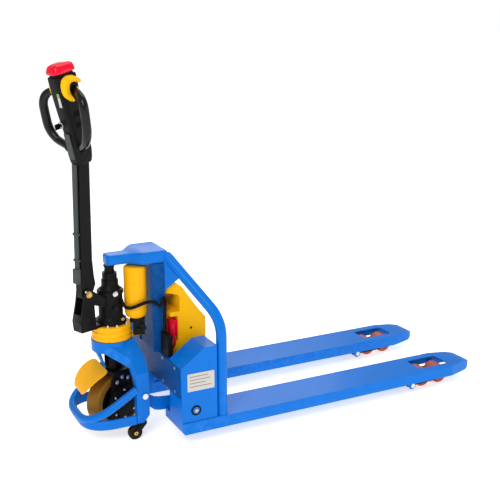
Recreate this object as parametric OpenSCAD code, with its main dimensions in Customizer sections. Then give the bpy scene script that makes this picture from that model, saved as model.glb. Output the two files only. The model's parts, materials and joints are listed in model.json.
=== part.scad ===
// Semi-electric pallet truck: twin forks on tandem load rollers, a steered drive wheel with
// a hydraulic lift pump above it, and a tilting tiller with its control head.
// Millimetres. X runs from the operator's end (-) to the fork tips (+), Y is across, Z is up.
// The forks are drawn lowered and the tiller upright, turned by steer_rest about the post.

/* [Forks] */
// Width over both forks
fork_span = 550; // [500:5:700]
// Width of one fork
fork_w = 160; // [150:5:180]
// Height of the fork's top face above the floor, lowered
fork_top = 85; // [82:1:95]
// Depth of the fork's side skirts
fork_skirt = 43; // [38:1:46]
// Thickness of the fork plate
fork_wall = 5; // [4:0.5:6]
// Place of the fork tip along X
tip_x = 830; // [780:5:900]
// Radius of the rounded fork tip
tip_r = 56; // [46:1:66]
// Length over which the fork narrows to its tip
tip_taper = 130; // [110:5:160]

/* [Load rollers] */
// Diameter of a load roller
roller_d = 74; // [70:1:76]
// Width of a load roller
roller_w = 68; // [50:1:72]
// Distance between the two roller axles of a bogie
roller_pitch = 84; // [78:1:96]
// Place of the bogie's middle along X
bogie_x = 633; // [600:1:660]
// Distance from the bogie's middle to the yoke's hinge
yoke_arm = 126; // [122:1:135]
// Height of the yoke's hinge
yoke_z = 35; // [33:1:38]
// Radius of the yoke's push lever
yoke_lever = 36; // [32:1:38]
// Diameter of the pins in bogie, yoke and rollers
pin_d = 14; // [12:0.5:16]

/* [Lift linkage] */
// Lifting height
lift_travel = 110; // [100:1:120]
// Place of the rocker shaft along X
rocker_x = -427; // [-435:1:-420]
// Height of the rocker shaft
rocker_z = 127; // [124:1:132]
// Diameter of the rocker shaft
rocker_d = 26; // [22:1:32]
// Place of the leg pins along X
leg_pin_x = -568; // [-572:1:-564]
// Height of the leg pins
leg_pin_z = 160; // [154:1:166]

/* [Side boxes] */
// Front plane of the side boxes
box_front = -480; // [-490:1:-470]
// Width of a side box
box_w = 111; // [100:1:120]
// Plate thickness of the side boxes
box_wall = 4; // [3:0.5:6]
// Height of the side box at its front edge
box_front_z = 288; // [276:1:304]
// Height of the side box at its back
box_back_z = 355; // [345:1:380]
// Rear end of the box floor, where the lifting forks start
heel_x = -300; // [-305:1:-290]

/* [Column and tubes] */
// Half width of the column
column_y = 75; // [65:1:85]
// Depth of the column
column_deep = 48; // [40:1:56]
// Plate thickness of the column
column_wall = 8; // [6:1:10]
// Underside of the head casting, lowered
head_z = 614; // [600:1:630]
// Thickness of the head casting's rear part
head_t = 44; // [36:1:54]
// Diameter of the bent frame tubes
tube_d = 38; // [34:1:44]

/* [Base] */
// Place of the steering post along X
steer_x = -632; // [-640:1:-628]
// Top of the base arch
arch_z = 345; // [340:1:350]
// Thickness of the arch's hub
hub_t = 40; // [34:1:46]
// Radius of the arch's hub
hub_r = 74; // [68:1:80]
// Inner face of the legs from the middle
leg_in = 120; // [118:1:124]
// Thickness of the legs
leg_t = 28; // [22:1:32]
// Width of the legs along X
leg_w = 46; // [40:1:50]
// Front face of the legs
leg_x = -598; // [-600:1:-594]
// Underside of the legs
leg_z = 61; // [59:1:70]
// Distance of the bumper hoop's sides from the middle
hoop_y = 138; // [136:1:146]
// Reach of the bumper hoop in front of the steering post
hoop_reach = 143; // [140:1:160]
// Diameter of the bumper tube
hoop_d = 28; // [22:1:28]

/* [Drive unit] */
// Diameter of the drive wheel
wheel_d = 210; // [200:1:212]
// Width of the drive wheel
wheel_w = 66; // [56:1:68]
// Radius of the turntable ring
ring_r = 71; // [64:1:74]
// Angle at which the steering stands in the rest pose
steer_rest = 20; // [0:1:30]
// Radius of the pump body
pump_r = 43; // [38:1:46]
// Diameter of the lifting ram
ram_d = 25; // [20:1:28]
// Diameter of the power pack
pack_d = 80; // [70:1:84]

/* [Tiller] */
// Distance from the steering post to the tiller hinge
hinge_r = 110; // [106:1:118]
// Height of the tiller hinge
hinge_z = 532; // [520:1:545]
// Lean of the tiller tube towards the load
tiller_lean = 1.5; // [0:0.5:6]
// Depth of the tiller tube
tiller_deep = 48; // [40:1:52]
// Width of the tiller tube
tiller_wide = 32; // [28:1:36]
// Length of the tiller tube above its hinge
tiller_len = 462; // [430:1:490]
// Lean of the control head towards the operator
head_lean = 13.5; // [8:0.5:18]
// Height of the control head along its own axis
head_len = 325; // [305:1:345]
// Distance of each hand loop's grip from the middle
loop_y = 118; // [105:1:130]

/* [Casters] */
// Diameter of a caster wheel
caster_d = 50; // [44:1:52]
// Trail of a caster wheel behind its swivel axis
caster_trail = 30; // [24:1:32]

/* [Hidden] */
$fn = 64;

fit = 0.05; // radial running clearance of a pin in its hole
gap = 0.3; // clearance between neighbouring faces
slack = 3.5; // play of the leg pins in the rocker arms' slots
soft_fn = 32; // facets of a blended shape

fork_y = (fork_span - fork_w) / 2;
fork_low = fork_top - fork_skirt;
roller_z = roller_d / 2;
yoke_x = bogie_x - yoke_arm;
yoke_rise = roller_z - yoke_z;
yoke_swing = asin(yoke_rise / yoke_arm) + asin((lift_travel - yoke_rise) / yoke_arm);
rod_travel = 2 * yoke_lever * sin(yoke_swing / 2);
arm_run = rocker_x - leg_pin_x;
arm_rise = leg_pin_z - rocker_z;
rocker_swing = atan(arm_rise / arm_run) + atan((lift_travel - arm_rise) / arm_run);
rocker_lever = rod_travel / (2 * sin(rocker_swing / 2));
rod_front = [rocker_x - rod_travel / 2, rocker_z - rocker_lever * cos(rocker_swing / 2)];
rod_back = [yoke_x - rod_travel / 2, yoke_z + yoke_lever * cos(yoke_swing / 2)];
box_out = fork_span / 2 - box_wall;
box_in = box_out - box_w;
root_in = fork_span / 2 - fork_w;
tube_x = heel_x - tube_d / 2 - 2;
tube_y = fork_span / 2 - tube_d / 2;
leg_out = leg_in + leg_t;
wheel_z = wheel_d / 2;
ring_top = arch_z + gap + 55;
pump_top = ring_top + 125;
neck_top = pump_top + 60;
pack_off = pump_r + 5.1 + pack_d / 2;
pack_turn = -39.4;
pack_at = pack_off * [cos(pack_turn), sin(pack_turn)];
column_x = steer_x + pack_off + pack_d / 2 + 2;
tiller_at = [-hinge_r, 0, hinge_z];

blue = "#0b79d8";
dark_blue = "#0a4c92";
yellow = "#ffbd08";
black = "#1c1d20";
steel = "#c9ccd0";
brass = "#c8a04a";

// ---- helpers ----

// Places children on the steering post, turned to the rest angle.
module steered() {
    translate([steer_x, 0, 0])
        rotate([0, 0, steer_rest])
            children();
}

// Draws children as they are for the left side, and mirrored for the right side.
module on_side(left) {
    mirror([0, left ? 0 : 1, 0])
        children();
}

// A cylinder along Y from y0 to y1.
module bar_y(x, z, d, y0, y1) {
    translate([x, y1, z])
        rotate([90, 0, 0])
            cylinder(h = y1 - y0, d = d);
}

// A plate whose outline lies in XZ, from y0 to y1.
module plate_y(y0, y1) {
    translate([0, y1, 0])
        rotate([90, 0, 0])
            linear_extrude(y1 - y0)
                children();
}

// A block given by its low and high corners.
module block(low, high) {
    translate(low)
        cube(high - low);
}

// A rectangle with round corners about its own middle.
module round_rect(size, r) {
    square([size[0] - 2 * r, size[1]], center = true);
    square([size[0], size[1] - 2 * r], center = true);
    for (sx = [-1, 1], sy = [-1, 1])
        translate([sx * (size[0] / 2 - r), sy * (size[1] / 2 - r)])
            circle(r = r);
}

function unit(v) = v / norm(v);
function tangent(p, i) = unit(p[min(i + 1, len(p) - 1)] - p[max(i - 1, 0)]);
function square_to(t) = unit(cross(t, abs(t[2]) < 0.8 ? [0, 0, 1] : [0, 1, 0]));
function carried(t, i, n) =
    i >= len(t) ? [] : let (m = unit(n - (n * t[i]) * t[i])) concat([m], carried(t, i + 1, m));
// Points of a smooth curve through p, with n steps between neighbours.
function curve(p, n) = concat(
    [for (i = [0:len(p) - 2], k = [0:n - 1])
        let (
            u = k / n,
            a = p[max(i - 1, 0)],
            b = p[i],
            c = p[i + 1],
            d = p[min(i + 2, len(p) - 1)]
        )
        0.5 * (2 * b + (c - a) * u + (2 * a - 5 * b + 4 * c - d) * u * u
            + (3 * b - a - 3 * c + d) * u * u * u)],
    [p[len(p) - 1]]);
// Points of a round bend at corner b, starting d before it and ending d after it.
function bend(a, b, c, d, n) =
    let (s = b + d * unit(a - b), e = b + d * unit(c - b))
    [for (i = [0:n]) let (u = i / n) (1 - u) * (1 - u) * s + 2 * u * (1 - u) * b + u * u * e];

// A round tube of radius r swept along points p.
module swept(p, r, sides) {
    t = [for (i = [0:len(p) - 1]) tangent(p, i)];
    n = carried(t, 0, square_to(t[0]));
    last = len(p) - 1;
    rim = [for (i = [0:last], k = [0:sides - 1])
        p[i] + r * (cos(360 * k / sides) * n[i] + sin(360 * k / sides) * cross(t[i], n[i]))];
    wall = [for (i = [0:last - 1], k = [0:sides - 1])
        [i * sides + k, (i + 1) * sides + k, (i + 1) * sides + (k + 1) % sides, i * sides + (k + 1) % sides]];
    ends = [[for (k = [0:sides - 1]) k], [for (k = [0:sides - 1]) last * sides + sides - 1 - k]];
    polyhedron(rim, concat(wall, ends), convexity = 8);
}

// ---- base: arch, legs, bumper ----

knee_y = 113; // where the arch's arms turn down into the legs
knee_z = 292; // top of that bend
leg_top = 246; // top of the legs' upright part
bearing_r = 38; // outside radius of the steering bearing
stem_r = 30; // radius of the steering stem

module arch_arm() {
    back = leg_x + leg_w;
    hull() {
        block([steer_x - 46, 40, arch_z - hub_t], [back - 16, 58, arch_z]);
        block([leg_x - 8, knee_y - 24, knee_z - 34], [back, knee_y, knee_z]);
    }
    hull() {
        block([leg_x - 8, knee_y - 24, knee_z - 34], [back, knee_y, knee_z]);
        block([leg_x, leg_in, leg_top - 40], [back, leg_out, leg_top]);
    }
    difference() {
        plate_y(leg_in, leg_out)
            polygon([
                [leg_x, leg_z], [back - 22, leg_z], [back, leg_z + 25],
                [back, leg_top - 30], [leg_x, leg_top - 30],
            ]);
        bar_y(leg_pin_x, leg_pin_z, pin_d + 2 * fit, leg_in - 1, leg_out + 1);
        translate([leg_x + 23, leg_in + leg_t / 2, leg_z - 1])
            cylinder(h = 31, r = caster_stem_r + fit);
    }
}

// Strap from the hub's front edge to the inside of the wheel guard.
module guard_strap() {
    top = arch_z - hub_t + 7;
    plate_y(-26, 26)
        translate([steer_x, 0])
            polygon([
                [-70, top], [-39, 250], [-40.2, 243], [-52.6, 238.5], [-50, 233.5], [-34, 241],
                [-54, top],
            ]);
}

module base_arch() {
    color(blue)
        difference() {
            union() {
                translate([steer_x, 0, arch_z - hub_t])
                    cylinder(h = hub_t, r = hub_r);
                arch_arm();
                mirror([0, 1, 0])
                    arch_arm();
                guard_strap();
            }
            translate([steer_x, 0, arch_z - 2 * hub_t])
                cylinder(h = 3 * hub_t, r = bearing_r + fit);
        }
}

module steer_bearing() {
    color(steel)
        translate([steer_x, 0, arch_z - hub_t])
            difference() {
                cylinder(h = hub_t, r = bearing_r);
                translate([0, 0, -1])
                    cylinder(h = hub_t + 2, r = stem_r + fit);
            }
}

hoop_front_z = 80; // height of the bumper tube at its front
hoop_leg_z = 186; // height at which it meets the legs
hoop_bend = 85; // distance from each corner at which its bend starts
band_t = 8; // thickness of the lower band
band_z = [54, 90]; // underside and top of the lower band
hoop_x = steer_x - hoop_reach;

function hoop_at(x, y) =
    [x, y, hoop_front_z + (hoop_leg_z - hoop_front_z) * (x - hoop_x) / (leg_x + 4 - hoop_x)];
// Half of the hoop's line, from the right leg round the corner to the middle, moved out by e.
function hoop_half(e) = concat(
    [hoop_at(leg_x + 4, -hoop_y - e)],
    bend(hoop_at(leg_x + 4, -hoop_y - e), hoop_at(hoop_x - e, -hoop_y - e), hoop_at(hoop_x - e, 0),
        hoop_bend, 8));
function hoop_line(e) =
    let (h = hoop_half(e))
    concat(h, [for (i = [len(h) - 1:-1:0]) [h[i][0], -h[i][1], h[i][2]]]);

module bumper_hoop() {
    outer = [for (p = hoop_line(band_t / 2)) [p[0], p[1]]];
    inner = [for (p = hoop_line(-band_t / 2)) [p[0], p[1]]];
    last = len(inner) - 1;
    color(blue)
        difference() {
            union() {
                swept(hoop_line(0), hoop_d / 2, 16);
                translate([0, 0, band_z[0]])
                    linear_extrude(band_z[1] - band_z[0])
                        polygon(concat(outer, [for (i = [0:last]) inner[last - i]]));
            }
            block([leg_x, -200, 0], [leg_x + 50, 200, 300]);
        }
}

module leg_pins() {
    color(steel)
        for (s = [0, 1])
            on_side(s == 1) {
                bar_y(leg_pin_x, leg_pin_z, pin_d, rocker_arm_in - 5, leg_out + 1);
                bar_y(leg_pin_x, leg_pin_z, 22, leg_out, leg_out + 6);
                bar_y(leg_pin_x, leg_pin_z, 22, rocker_arm_in + rocker_arm_t + gap, leg_in);
                bar_y(leg_pin_x, leg_pin_z, 26, rocker_arm_in - 5, rocker_arm_in - gap);
            }
}

// ---- casters under the legs ----

caster_stem_r = 6;
caster_w = 20; // width of a caster wheel
caster_x = leg_x + 23;
caster_y = leg_in + leg_t / 2;

module caster_fork() {
    translate([caster_x, caster_y, 0]) {
        translate([0, 0, leg_z - 4 - gap])
            cylinder(h = 4, r = 15);
        translate([0, 0, leg_z - 5])
            cylinder(h = 30, r = caster_stem_r);
        for (s = [-1, 1])
            difference() {
                translate([0, s * (caster_w / 2 + 2.5) + 1.5, 0])
                    rotate([90, 0, 0])
                        linear_extrude(3)
                            polygon([
                                [-12, leg_z - 4 - gap], [12, leg_z - 4 - gap],
                                [-caster_trail + 8, caster_d / 2 - 6], [-caster_trail - 8, caster_d / 2 - 6],
                                [-caster_trail - 8, caster_d / 2 + 6],
                            ]);
                bar_y(-caster_trail, caster_d / 2, 8 + 2 * fit, -20, 20);
            }
    }
}

module caster(left) {
    color(black)
        on_side(left)
            caster_fork();
}

module caster_left() {
    caster(true);
}

module caster_right() {
    caster(false);
}

module caster_wheel(left) {
    color("#2a2018")
        on_side(left)
            translate([caster_x - caster_trail, caster_y, caster_d / 2]) {
                bar_y(0, 0, caster_d, -caster_w / 2, caster_w / 2);
                bar_y(0, 0, 8, -caster_w / 2 - 6, caster_w / 2 + 6);
            }
}

module caster_wheel_left() {
    caster_wheel(true);
}

module caster_wheel_right() {
    caster_wheel(false);
}

// ---- drive unit: all of it turns with the tiller ----

axle_d = 30; // drive axle
cheek_y = wheel_w / 2 + 7; // inner face of the drive fork's cheeks
cheek_t = 10; // their thickness
crown_z = [wheel_d + 6, wheel_d + 20]; // underside and top of the drive fork's crown

module drive_cheek() {
    difference() {
        plate_y(cheek_y, cheek_y + cheek_t) {
            translate([0, wheel_z])
                circle(r = 62);
            polygon([[-50, 140], [50, 140], [40, crown_z[0]], [40, crown_z[1]], [-40, crown_z[1]],
                [-40, crown_z[0]]]);
        }
        bar_y(0, wheel_z, axle_d + 2 * fit, 0, 100);
    }
}

// Motor and brake cover outside each cheek.
module drive_cover() {
    y0 = cheek_y + cheek_t;
    difference() {
        union() {
            bar_y(0, wheel_z, 132, y0 - 1, y0 + 9);
            bar_y(0, wheel_z, 84, y0 + 8, y0 + 16);
            for (k = [0:5])
                bar_y(52 * cos(60 * k), wheel_z + 52 * sin(60 * k), 12, y0 + 8, y0 + 14);
        }
        bar_y(0, wheel_z, axle_d + 2 * fit, y0 - 2, y0 + 7 + fit);
    }
}

module drive_fork() {
    under_hub = arch_z - hub_t - gap;
    color(black)
        steered() {
            for (s = [0, 1])
                on_side(s == 1) {
                    drive_cheek();
                    drive_cover();
                }
            block([-40, -cheek_y - cheek_t, crown_z[0]], [40, cheek_y + cheek_t, crown_z[1]]);
            translate([0, 0, crown_z[1] - 1])
                cylinder(h = arch_z + gap - crown_z[1] + 1, r = stem_r);
            translate([0, 0, under_hub - 12])
                cylinder(h = 12, r = bearing_r);
        }
}

module drive_axle() {
    color(steel)
        steered()
            bar_y(0, wheel_z, axle_d, -cheek_y - cheek_t - 7, cheek_y + cheek_t + 7);
}

rim_r = wheel_d / 2 - 27;

module drive_rim() {
    color(black)
        steered()
            difference() {
                union() {
                    bar_y(0, wheel_z, 2 * rim_r, -wheel_w / 2 + 4, wheel_w / 2 - 4);
                    bar_y(0, wheel_z, 60, -wheel_w / 2 - 3, wheel_w / 2 + 3);
                }
                bar_y(0, wheel_z, axle_d + 2 * fit, -wheel_w, wheel_w);
                for (s = [-1, 1])
                    difference() {
                        bar_y(0, wheel_z, 2 * rim_r - 16, s * wheel_w / 2 - 14, s * wheel_w / 2 + 14);
                        bar_y(0, wheel_z, 62, -wheel_w, wheel_w);
                    }
            }
}

module drive_tyre() {
    color("#a87c26")
        steered()
            translate([0, 0, wheel_z])
                rotate([90, 0, 0])
                    rotate_extrude($fn = 120)
                        polygon([
                            [rim_r + fit, -wheel_w / 2 + 2], [wheel_d / 2 - 6, -wheel_w / 2],
                            [wheel_d / 2, -wheel_w / 2 + 6], [wheel_d / 2, wheel_w / 2 - 6],
                            [wheel_d / 2 - 6, wheel_w / 2], [rim_r + fit, wheel_w / 2 - 2],
                        ]);
}

guard_r = 144; // inside radius of the wheel guard about the drive axle
guard_t = 3; // its thickness
guard_tilt = 48; // angle of its middle above the floor

// A curved plate in front of the drive wheel, oval when seen square on.
module wheel_guard() {
    half = [
        [-58, 44], [-50, 57], [-41, 66], [-24, 74], [-6, 80], [12, 83], [28, 84], [42, 83], [52, 79],
        [58, 72], [62, 60],
    ];
    back = [for (i = [len(half) - 1:-1:0]) [half[i][0], -half[i][1]]];
    color(yellow)
        translate([steer_x, 0, wheel_z])
            intersection() {
                difference() {
                    bar_y(0, 0, 2 * (guard_r + guard_t), -100, 100);
                    bar_y(0, 0, 2 * guard_r, -101, 101);
                }
                rotate([0, guard_tilt - 90, 0])
                    translate([0, 0, 60])
                        linear_extrude(120)
                            polygon(concat(half, back));
            }
}

module turntable_ring() {
    color(yellow)
        steered() {
            translate([0, 0, arch_z + gap])
                rotate_extrude($fn = 96)
                    polygon([
                        [0, 0], [ring_r - 2, 0], [ring_r, 2], [ring_r, 12], [ring_r - 2, 14],
                        [ring_r - 2, 18], [ring_r, 20], [ring_r, 32], [ring_r - 2, 34],
                        [ring_r - 2, 38], [ring_r, 40], [ring_r, 52], [ring_r - 3, 55], [0, 55],
                    ]);
            translate([0, 0, arch_z + gap])
                linear_extrude(10)
                    polygon([[40, -52], [88, -66], [96, -52], [64, -10], [40, -10]]);
        }
}

module ring_bolts() {
    color(steel)
        steered()
            for (a = [-140, -110, -70, 110, 140])
                translate([62 * cos(a), 62 * sin(a), ring_top]) {
                    cylinder(h = 3, r = 6.5);
                    translate([0, 0, 2.9])
                        cylinder(h = 5, r = 4.5);
                }
}

module pump_body() {
    color(black)
        steered()
            difference() {
                union() {
                    translate([0, 0, ring_top])
                        cylinder(h = 16, r = 54);
                    translate([0, 0, ring_top + 15])
                        cylinder(h = 12, r1 = 50, r2 = pump_r);
                    translate([0, 0, ring_top + 20])
                        cylinder(h = pump_top - ring_top - 20, r = pump_r);
                    translate([0, 0, pump_top - 14])
                        cylinder(h = 10, r = pump_r + 4);
                    translate([0, 0, pump_top - 1])
                        cylinder(h = 14, r1 = pump_r - 4, r2 = 30);
                    translate([0, 0, pump_top])
                        cylinder(h = 34, r = 30);
                    translate([0, 0, pump_top + 33])
                        cylinder(h = 27, r = 26);
                    translate([0, 0, neck_top - 1])
                        cylinder(h = 9, r = 18);
                    rotate([0, 0, -108])
                        translate([pump_r, 0, pump_top - 62])
                            rotate([0, 90, 0])
                                cylinder(h = 24, r = 11, center = true);
                }
                translate([0, 0, ring_top + 30])
                    cylinder(h = 300, r = ram_d / 2 + fit);
            }
}

module lifting_ram() {
    color(steel)
        steered() {
            translate([0, 0, ring_top + 32])
                cylinder(h = head_z - gap - ring_top - 32, r = ram_d / 2);
            translate([0, 0, head_z - gap - 8])
                cylinder(h = 8, r = 16);
        }
}

pack_low = ring_top + 16;
pack_high = head_z - 8;

module power_pack() {
    color(yellow)
        steered()
            translate([pack_at[0], pack_at[1], pack_low]) {
                rotate_extrude($fn = 80)
                    polygon([
                        [0, 0], [pack_d / 2 - 16, 0], [pack_d / 2 - 6, 6], [pack_d / 2, 22],
                        [pack_d / 2, pack_high - pack_low - 6], [pack_d / 2 - 5, pack_high - pack_low],
                        [0, pack_high - pack_low],
                    ]);
            }
}

module valve_block() {
    z0 = arch_z + gap + 10;
    color(black)
        steered()
            translate([pack_at[0], pack_at[1], 0])
                rotate([0, 0, pack_turn]) {
                    block([-12, -24, z0], [30, 24, pack_low]);
                    translate([4, 0, ring_top + gap])
                        cylinder(h = pack_low - ring_top - gap, r = 27);
                    translate([29, -12, z0 + 22])
                        rotate([0, 90, 0])
                            cylinder(h = 6, r = 7);
                    translate([6, -24, z0 + 20])
                        rotate([90, 0, 0])
                            cylinder(h = 10, r = 8);
                    translate([20, -24, z0 + 38])
                        rotate([90, 0, 0])
                            cylinder(h = 8, r = 6);
                }
}

// ---- tiller bracket on the drive unit ----

bracket_low = ring_top;
ear_in = tiller_wide / 2 + 2; // inner face of the bracket's ears
ear_t = 6;

module bracket_ear() {
    difference() {
        plate_y(ear_in, ear_in + ear_t) {
            translate([-hinge_r, hinge_z])
                circle(r = 19);
            polygon([
                [-hinge_r - 19, hinge_z], [-hinge_r + 6, hinge_z + 18], [-40, hinge_z - 30],
                [-40, hinge_z - 62], [-hinge_r + 22, hinge_z - 44], [-hinge_r + 26, bracket_low + 14],
                [-hinge_r + 30, bracket_low], [-hinge_r - 36, bracket_low], [-hinge_r - 40, hinge_z - 95],
                [-hinge_r - 24, hinge_z - 30],
            ]);
        }
        bar_y(-hinge_r, hinge_z, pin_d + 2 * fit, 0, 50);
    }
}

module tiller_bracket() {
    color(black)
        steered()
            difference() {
                union() {
                    bracket_ear();
                    mirror([0, 1, 0])
                        bracket_ear();
                    plate_y(-ear_in, ear_in)
                        polygon([
                            [-hinge_r - 36, bracket_low], [-hinge_r - 40, hinge_z - 95],
                            [-hinge_r - 34, hinge_z - 70], [-hinge_r - 29, hinge_z - 70],
                            [-hinge_r - 34, hinge_z - 95], [-hinge_r - 30, bracket_low],
                        ]);
                    block([-hinge_r - 34, -ear_in, bracket_low], [-hinge_r + 30, ear_in, bracket_low + 8]);
                    block([-hinge_r + 26, -20, bracket_low], [-44, 20, bracket_low + 12]);
                }
                translate([0, 0, bracket_low - 1])
                    cylinder(h = 26, r = 54 + gap);
                translate([0, 0, bracket_low + 24])
                    cylinder(h = 200, r = pump_r + 4 + gap);
            }
}

module tiller_pin() {
    y1 = ear_in + ear_t;
    color(brass)
        steered() {
            bar_y(-hinge_r, hinge_z, pin_d, -y1 - 1, y1 + 1);
            for (s = [0, 1])
                on_side(s == 1) {
                    bar_y(-hinge_r, hinge_z, 24, y1, y1 + 3);
                    bar_y(-hinge_r, hinge_z, 18, y1 + 2, y1 + 8);
                }
        }
}

// ---- cables ----

pump_cable_route = [
    [-604, -38, 492], [-600, -46, 470], [-586, -64, 462], [-566, -78, 470],
    [-544, -81, 478], [-520, -77, 480], [-500, -84, 478], [-490, -92, 470],
];
frame_cable_route = [
    [-489.6, -92.4, 469.6], [-485, -96, 466.5], [-479, -97, 468], [-475, -95, 476], [-471, -92, 488],
    [-465, -90, 492], [-461, -92, 482],
    [-464, -96, 460], [-466, -98, 430], [-467, -98, 400], [-468, -100, box_front_z + 80.7],
];
cable_r = 5;

module pump_cable() {
    color("#141416")
        swept(curve(pump_cable_route, 3), cable_r, 8);
}

module frame_cable() {
    color("#141416")
        swept(curve(frame_cable_route, 2), cable_r, 8);
}

// ---- tiller ----

// Places children in the tiller's own frame: origin on the hinge, Z up the tube.
module on_tiller() {
    steered()
        translate(tiller_at)
            rotate([0, tiller_lean, 0])
                children();
}

module tiller_tube() {
    w = tiller_wide / 2;
    color(black)
        on_tiller()
            difference() {
                plate_y(-w, w) {
                    circle(r = 23);
                    polygon([
                        [-23, 0], [23, 0], [36, 30], [30, 60], [tiller_deep / 2, 118],
                        [tiller_deep / 2 - 3, tiller_len], [-tiller_deep / 2 + 3, tiller_len],
                        [-tiller_deep / 2, 118], [-tiller_deep / 2, 20],
                    ]);
                }
                bar_y(0, 0, pin_d + 2 * fit, -w - 1, w + 1);
            }
}

module cable_cover() {
    color("#3a3c40")
        on_tiller() {
            block([-tiller_deep / 2 - 8, -10, 90], [-tiller_deep / 2, 10, tiller_len - 14]);
            block([-tiller_deep / 2 - 14, -14, 40], [-tiller_deep / 2, 14, 92]);
            for (z = [118, 208])
                block([-tiller_deep / 2 - 9.5, -15, z], [-tiller_deep / 2, 15, z + 8]);
        }
}

// Places children in the control head's frame: Z runs up the head, -X faces the operator.
module on_head() {
    on_tiller()
        translate([0, 0, tiller_len])
            rotate([0, -head_lean - tiller_lean, 0])
                children();
}

head_w = 62; // width of the head between the throttle discs
head_deep = 76; // depth of the head near its top
head_x = 4; // middle of the head behind the tube's end
belly_t = 26; // height of the belly cap
throttle_z = 245; // height of the throttle's axis

module head_shell() {
    color(black)
        on_head()
            difference() {
                union() {
                    hull() {
                        translate([0, 0, 2])
                            linear_extrude(1)
                                round_rect([44, 40], 8, $fn = soft_fn);
                        translate([head_x, 0, 92])
                            linear_extrude(1)
                                round_rect([58, head_w - 6], 12, $fn = soft_fn);
                    }
                    hull() {
                        translate([head_x, 0, 92])
                            linear_extrude(1)
                                round_rect([58, head_w - 6], 12, $fn = soft_fn);
                        translate([head_x, 0, head_len - belly_t - 6])
                            linear_extrude(1)
                                round_rect([head_deep, head_w], 14, $fn = soft_fn);
                    }
                    translate([0, 0, -6])
                        linear_extrude(9)
                            difference() {
                                round_rect([54, 42], 8, $fn = soft_fn);
                                square([tiller_deep, tiller_wide + 0.4], center = true);
                            }
                }
                bar_y(head_x, throttle_z, 12 + 2 * fit, -60, 60);
                for (z = button_z)
                    block([button_x - 10.3, -head_w, z - 9.3], [button_x + 10.3, -head_w / 2 + 9, z + 9.3]);
                translate([head_x, 0, head_len - belly_t - 20])
                    cylinder(h = 30, r = 9 + gap);
                translate([key_x, key_y, key_z])
                    rotate([0, -90, 0])
                        cylinder(h = 40, r = 11);
                // socket for the tiller tube's top
                rotate([0, head_lean + tiller_lean, 0])
                    translate([0, 0, -20])
                        linear_extrude(20)
                            square([tiller_deep - 5.6, tiller_wide + 2 * fit], center = true);
            }
}

button_z = [123, 160];
button_x = 6;

module square_button(z) {
    color("#0c0c0e")
        on_head()
            block([button_x - 10, -head_w / 2 - 2, z - 9], [button_x + 10, -head_w / 2 + 5, z + 9]);
}

module lift_button() {
    square_button(button_z[1]);
}

module lower_button() {
    square_button(button_z[0]);
}

module belly_button() {
    color("#e0103c")
        on_head() {
            hull() {
                translate([head_x, 0, head_len - belly_t + 6])
                    linear_extrude(1)
                        round_rect([head_deep + 2, head_w], 16, $fn = soft_fn);
                translate([head_x, 0, head_len - 8])
                    linear_extrude(1)
                        round_rect([head_deep - 4, head_w - 6], 18, $fn = soft_fn);
                translate([head_x, 0, head_len - 1])
                    linear_extrude(1)
                        round_rect([head_deep - 26, head_w - 26], 12, $fn = soft_fn);
            }
            translate([head_x, 0, head_len - belly_t - 8])
                cylinder(h = 20, r = 9);
        }
}

throttle_y = [head_w / 2 + gap, head_w / 2 + 14]; // inner and outer face of a throttle disc

// A crescent round the hand loop's root, with a wing for the thumb above it.
module throttle_disc() {
    translate([head_x, 0, throttle_z]) {
        difference() {
            plate_y(throttle_y[0], throttle_y[1]) {
                for (z = [-19, 19])
                    translate([0, z])
                        circle(r = 31);
                square([62, 38], center = true);
            }
            plate_y(0, 100)
                polygon([
                    [0, 0], [-38, -82], [60, -80], [90, 0], [70, 59],
                ]);
        }
        plate_y(throttle_y[0], throttle_y[1] + 8)
            polygon([[14, 24], [22, 40], [50, 24], [57, 13], [34, 13], [27, 18]]);
        bar_y(0, 0, 12, -1, throttle_y[0] + 4);
    }
}

module throttle() {
    color(yellow)
        on_head() {
            throttle_disc();
            mirror([0, 1, 0])
                throttle_disc();
        }
}

loop_r = 12; // radius of the grip tube

module hand_loop(left) {
    top = [head_x + 20, head_w / 2 - 5, throttle_z - 9];
    knee = [head_x - 22, loop_y, throttle_z - 27];
    low = [head_x - 26, loop_y - 8, 84];
    foot = [head_x - 12, 17, 38];
    color("#17181a")
        on_head()
            on_side(left)
                swept(concat([top], bend(top, knee, low, 46, 8), bend(knee, low, foot, 40, 8), [foot]),
                    loop_r, 14);
}

module hand_loop_left() {
    hand_loop(true);
}

module hand_loop_right() {
    hand_loop(false);
}

key_z = 128;
key_y = 16;
key_x = -22;

module key_switch() {
    color("#5a5c60")
        on_head()
            translate([key_x, key_y, key_z])
                rotate([0, -90, 0])
                    difference() {
                        cylinder(h = 12, r = 11);
                        translate([0, 0, 2])
                            cylinder(h = 12, r = 5 + fit);
                    }
}

module key() {
    color("#26272a")
        on_head()
            translate([key_x - 3, key_y, key_z])
                rotate([0, -90, 0]) {
                    cylinder(h = 13, r = 5);
                    translate([-9, -2, 12])
                        cube([18, 4, 19]);
                }
}

// ---- chassis ----

module column() {
    z0 = box_front_z;
    back = column_x + column_deep;
    color(dark_blue) {
        for (s = [0, 1])
            on_side(s == 1)
                block([column_x, column_y - column_wall, z0], [back, column_y, head_z]);
        block([column_x + 4, -column_y + column_wall, z0], [column_x + 8, column_y - column_wall, head_z]);
        block([back - 4, -column_y + column_wall, z0], [back, column_y - column_wall, head_z]);
    }
}

nose_w = 66; // width of the head casting's nose
nose_x = -648; // its front
nose_t = 42; // its thickness
head_back = -438; // rear edge of the head casting

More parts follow.
